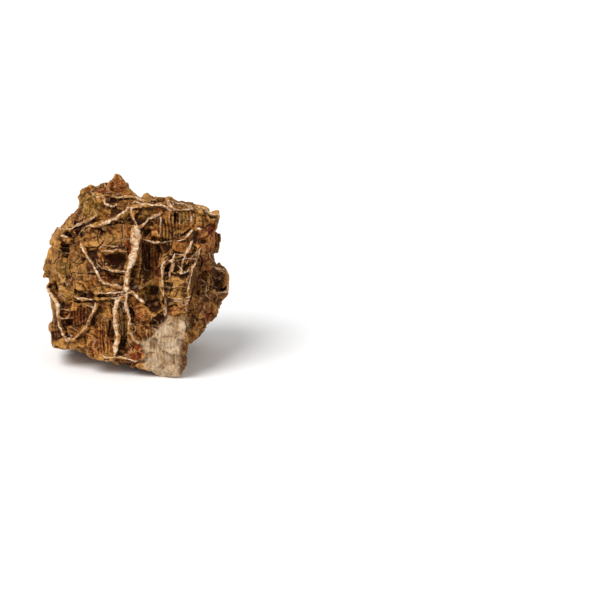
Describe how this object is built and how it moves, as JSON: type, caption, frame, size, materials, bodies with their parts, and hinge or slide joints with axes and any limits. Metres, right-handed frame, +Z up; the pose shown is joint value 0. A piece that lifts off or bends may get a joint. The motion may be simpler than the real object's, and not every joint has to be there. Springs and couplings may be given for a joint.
{
  "type": "aquarium rock",
  "caption": "Natural maple leaf rock for an aquarium or garden: ochre and rust blocks in a net of pale standing veins, on a pale quartz foot.",
  "frame": {"origin": "middle of the stone's bounding box, at floor level", "axes": "+Z up as the stone stands, -Y towards the viewer who faces the quartz foot and the veined face, +X to that viewer's right"},
  "size_m": [0.15, 0.1194, 0.1558],
  "materials": {
    "stone": "rough"
  },
  "bodies": {
    "root": {"stone": "stone"}
  },
  "joints": []
}
